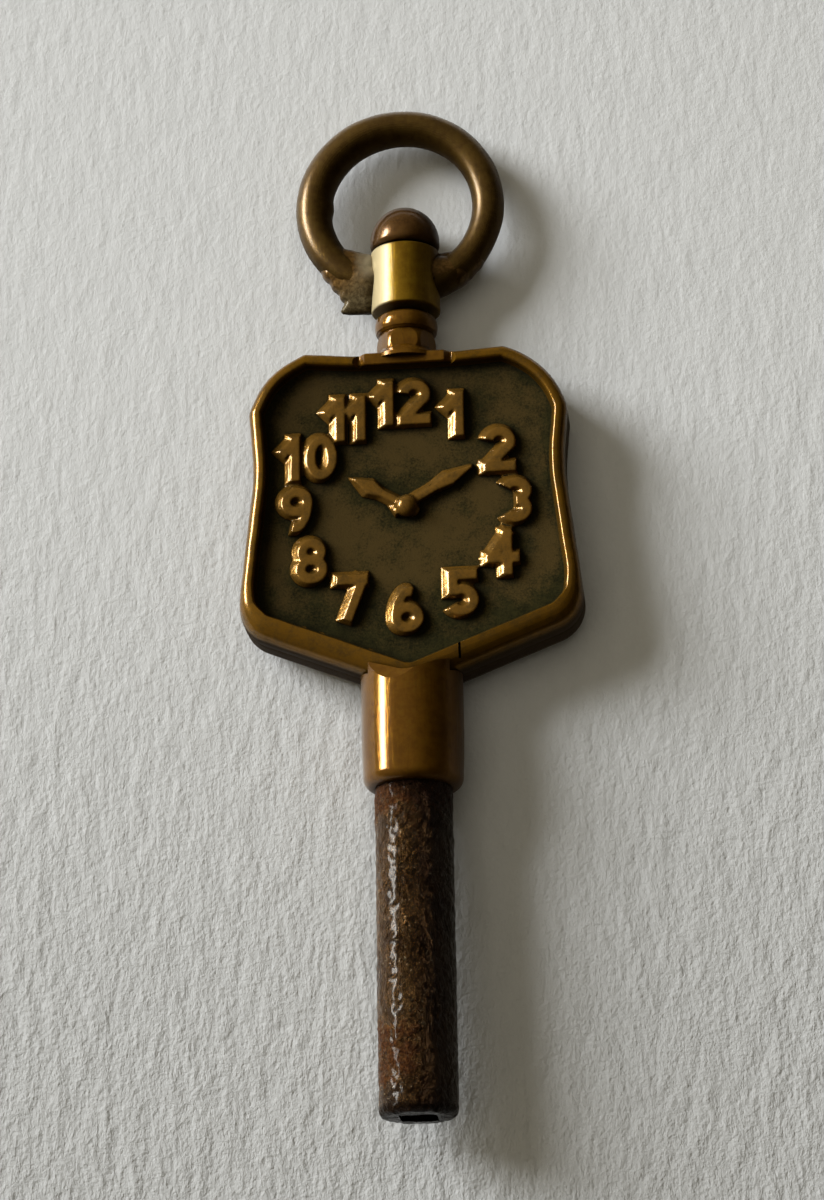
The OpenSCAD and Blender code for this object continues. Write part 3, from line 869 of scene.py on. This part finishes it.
def rough_braze(name):
    """Braze: brown on the wire, grey-green and rough towards the collar's foot, pale beside the collar as
    braze and as painted highlight, with painted shade away from the window and with grime in recesses.
    """
    f = Finish(name)
    blotch = f.noise(1.6, 5, 0.62)
    grain = f.noise(7, 5, 0.65)
    open_air = f.hollow(0.4)
    left = f.x.between(-0.5, 0.5, 1.0, 0.0)
    lumpy = grain.between(0.35, 0.65)
    green = (f.x * 0.35 - f.y + blotch * 1.2).between(-37.0, -35.2, 0.0, 0.85) * left
    colour = lumpy.mix((0.10, 0.05, 0.012), (0.20, 0.104, 0.026))
    colour = green.mix(colour, lumpy.mix((0.055, 0.043, 0.020), (0.14, 0.115, 0.06)))
    # Pale braze beside the collar, also a painted highlight on the side towards the window.
    pale = (f.x + blotch * 0.5).between(-2.0, -1.3) * left * f.y.between(35.9, 36.7)
    colour = pale.mix(colour, (0.5, 0.42, 0.27))
    unshaded_clean = open_air.between(0.25, 0.7).larger(pale * 0.8)
    unshaded_share = f.lee()
    # Painted shade towards near black on the side turned from the window, and painted shade with grime in
    # recesses.
    colour = (unshaded_clean * (0.08 + unshaded_share * 0.92)).mix((0.005, 0.004, 0.002), colour)
    rough = 0.26 + grain * 0.12 + green * 0.16
    height = grain * (0.1 + green * 0.3) + blotch * 0.8
    film = unshaded_clean * unshaded_share.between(SHADED_SHARE, 1.0) * (0.7 - green * 0.5)
    return f.wear(colour, 0.5 - green * 0.3, rough, height, 0.03, film)


def rusted_steel(name):
    """Steel under rust: a dark wrinkled skin, crust below the barrel and near the mouth, bright worn specks,
    painted shade on the side away from the window and darker at the mouth.
    """
    f = Finish(name)
    blotch = f.noise(0.8, 6, 0.62)
    rust = f.noise(2.6, 6, 0.62)
    ridges = (f.noise(1.5, 5, 0.66, f.stretched((1.0, 0.7, 1.0), (0.3, 0.2, 0.7))) - 0.5).size()
    grain = f.noise(9, 5, 0.7)
    specks = f.noise(5.0, 5, 0.75)
    top = f.y.between(BARREL_FOOT - 2.3, BARREL_FOOT - 0.3)
    low = f.y.between(0.6, 1.6) * f.y.between(3.0, 4.6, 1.0, 0.0) * f.x.between(-0.2, 0.7, 1.0, 0.0)
    crust = (rust * 0.8 + blotch * 0.5 + top * 0.3 + low * 0.24).between(0.74, 0.96)
    colour = (grain * 0.5 + blotch * 0.5).between(0.35, 0.65)
    colour = colour.mix((0.048, 0.019, 0.004), (0.25, 0.132, 0.046))
    colour = crust.mix(colour, grain.between(0.35, 0.68).mix((0.042, 0.013, 0.003), (0.20, 0.072, 0.019)))
    bright = specks.between(0.58, 0.66) * (1 - crust * 0.7) * (1 - top * 0.6)
    colour = bright.mix(colour, (0.42, 0.34, 0.22))
    # Painted shade: the side turned from the window goes towards near black, and the colour is darker also
    # at the mouth.
    unshaded_share = f.lee(0.48, 0.86, (-0.9, 0.2, 0.3)) * f.y.between(0.2, 0.6, 0.3, 1.0)
    colour = (unshaded_share ** 1.6).mix((0.006, 0.003, 0.002), colour)
    metal = 0.85 - crust * 0.5
    rough = 0.16 + crust * 0.28 + grain * 0.1 - bright * 0.06
    height = rust * 0.9 + ridges.smaller(0.12) * 4.2 + f.noise(3.4, 3, 0.6) * 0.9 + grain * 0.1
    film = (1 - crust * 0.6) * unshaded_share.between(SHADED_SHARE, 1.0) * 0.3
    return f.wear(colour, metal, rough, height, 0.2, film)


def pale_paper(name):
    """The pale sheet that the key lies on, with a soft tooth."""
    f = Finish(name)
    tooth = f.noise(1.5, 4, 0.6, f.stretched((1, 0.4, 1), (0, 0, 0.2)))
    fibre = f.noise(4.0, 3, 0.6)
    colour = tooth.between(0.3, 0.7).mix((0.83, 0.85, 0.86), (0.86, 0.88, 0.89))
    # Painted shade: the sheet darkens towards the mouth's end.
    colour = f.y.between(-6, 36, 0.26, 0.0).mix(colour, (0.2, 0.2, 0.19))
    return f.wear(colour, 0.0, 0.9, (tooth + fibre * 0.4) * f.y.between(-10, 40, 1.3, 0.45), 0.17)


def dress(piece, material, body, slot, *nodes):
    """Gives a piece its finish and its body, and hides the CAD nodes it stands for. Its slot is not used."""
    piece.data.materials.clear()
    piece.data.materials.append(material)
    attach(piece, body)
    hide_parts(*nodes)


shell_finish = struck_brass("struck brass", dark=(0.010, 0.010, 0.003), olive=(0.030, 0.027, 0.008),
                            brown=(0.076, 0.050, 0.015), gold=(0.26, 0.122, 0.007),
                            tan=(0.31, 0.155, 0.022), wall=(0.035, 0.020, 0.007))
barrel_finish = rubbed_brass("barrel brass", deep=(0.18, 0.073, 0.004), gold=(0.27, 0.115, 0.007),
                             olive=(0.20, 0.105, 0.007))
neck_finish = rubbed_brass("neck brass", deep=(0.18, 0.074, 0.004), gold=(0.29, 0.128, 0.008),
                           olive=(0.18, 0.10, 0.008), mottle=0.3)
pin_finish = rubbed_brass("pin brass", deep=(0.105, 0.045, 0.009), gold=(0.19, 0.088, 0.020),
                          olive=(0.095, 0.052, 0.012), mottle=0.3, haze=0.2)
collar_finish = rubbed_brass("collar brass", deep=(0.34, 0.18, 0.008), gold=(0.50, 0.29, 0.016),
                             olive=(0.34, 0.21, 0.014), bare=0.8, mottle=0.25, haze=0.3,
                             braze_highlight=left_wash, film=0.5)
# Painted shade on the ring, seen from a side leaning further towards its far end, darkens the inner faces of
# the wire.
ring_finish = rubbed_brass("ring brass", deep=(0.11, 0.056, 0.008), gold=(0.19, 0.104, 0.018),
                           olive=(0.12, 0.078, 0.012), bare=0.6, mottle=0.4, haze=0.28,
                           lee=(0.56, 0.8, (-0.5, 0.7, 0.5)))
braze_finish = rough_braze("braze")
pipe_finish = rusted_steel("rusted steel")

dress(make_front_shell(), shell_finish, "key", "shell_brass", "front_shell")
dress(make_back_shell(), shell_finish, "key", "shell_brass", "back_shell")
dress(make_barrel(), barrel_finish, "key", "barrel_brass", "pipe_barrel")
dress(make_pipe(), pipe_finish, "key", "pipe_steel", "winding_pipe")
dress(make_neck(), neck_finish, "key", "neck_brass", "neck")
dress(make_pin(), pin_finish, "key", "pin_brass", "swivel_pin")
dress(make_collar(), collar_finish, "bow", "collar_brass", "bow_collar")
dress(make_ring(), ring_finish, "bow", "ring_brass", "bow_ring")
dress(make_braze_left(), braze_finish, "bow", "braze_metal", "braze_left")
dress(make_braze_right(), braze_finish, "bow", "braze_metal", "braze_right")

# Stage: a pale sheet, tilted to meet the barrel and the head of the pin, a window to the left, a dim room
SHEET_Y, SHEET_DROP, SHEET_TILT = 16, 0.02, 0.0278
LAMP_DISTANCE = 0.6
clear_bench()
bpy.ops.mesh.primitive_plane_add(size=1.2, location=(0, MOUTH + SHEET_Y * MM, -SHEET_DROP * MM),
                                 rotation=(SHEET_TILT, 0, 0))
floor = begin("sheet")
floor.data.materials.append(pale_paper("pale paper"))


def lamp(name, direction, width, height, power, colour, shiny):
    """An area lamp aimed at the middle of the key, for shiny surfaces or for dull ones."""
    clear_bench()
    spot = Vector(direction).normalized() * LAMP_DISTANCE
    bpy.ops.object.light_add(type="AREA", location=spot)
    light = bpy.context.active_object
    light.name = name
    light.data.shape = "RECTANGLE"
    light.data.size, light.data.size_y = width, height
    light.data.energy = power
    light.data.color = colour
    light.rotation_euler = (-spot).to_track_quat("-Z", "Y").to_euler()
    light.visible_glossy = shiny
    light.visible_diffuse = not shiny


lamp("window", (-0.772, 0.41, 0.485), 0.255, 0.33, power=3.75, colour=(0.985, 0.995, 1), shiny=False)
lamp("ceiling", (0, 0, 1), 0.6, 0.6, power=0.55, colour=(1, 0.92, 0.76), shiny=False)
lamp("bright pane", (-0.83, 0.34, 0.43), 0.30, 0.13, power=3.4, colour=(1, 0.985, 0.92), shiny=True)

SKY = Vector((-0.88, 0.40, 0.25)).normalized()
world = bpy.data.worlds.new("room")
bpy.context.scene.world = world
world.use_nodes = True
room = Field(world.node_tree, None)
towards = room.node("ShaderNodeTexCoord", out="Generated")
towards = room.node("ShaderNodeVectorMath", {"operation": "DOT_PRODUCT"}, {0: towards, 1: SKY}, out="Value")
shade = towards.between(-0.45, 1.0).mix((0.006, 0.0045, 0.002), (0.20, 0.17, 0.11))
world.node_tree.links.new(shade.socket, world.node_tree.nodes["Background"].inputs[0])

# Camera, at the photograph's angle: 824 by 1200 with the long side on the sensor
clear_bench()
yaw, pitch, roll = math.radians(5.016), math.radians(18.698), math.radians(-2.635)
base = Matrix(((1, 0, 0), (0, math.cos(pitch), math.sin(pitch)), (0, -math.sin(pitch), math.cos(pitch))))
swing = Matrix(((math.cos(yaw), 0, -math.sin(yaw)), (0, 1, 0), (math.sin(yaw), 0, math.cos(yaw))))
lean = Matrix(((math.cos(roll), math.sin(roll), 0), (-math.sin(roll), math.cos(roll), 0), (0, 0, 1)))
aim = (lean @ swing @ base).transposed()
bpy.ops.object.camera_add(location=at(12.164, -22.541, 130.662))
camera = bpy.context.active_object
camera.rotation_euler = aim.to_euler()
camera.data.lens = 99.58
camera.data.sensor_width = 36
camera.data.clip_start = 0.005
bpy.context.scene.camera = camera
bpy.context.scene.view_settings.view_transform = "Standard"
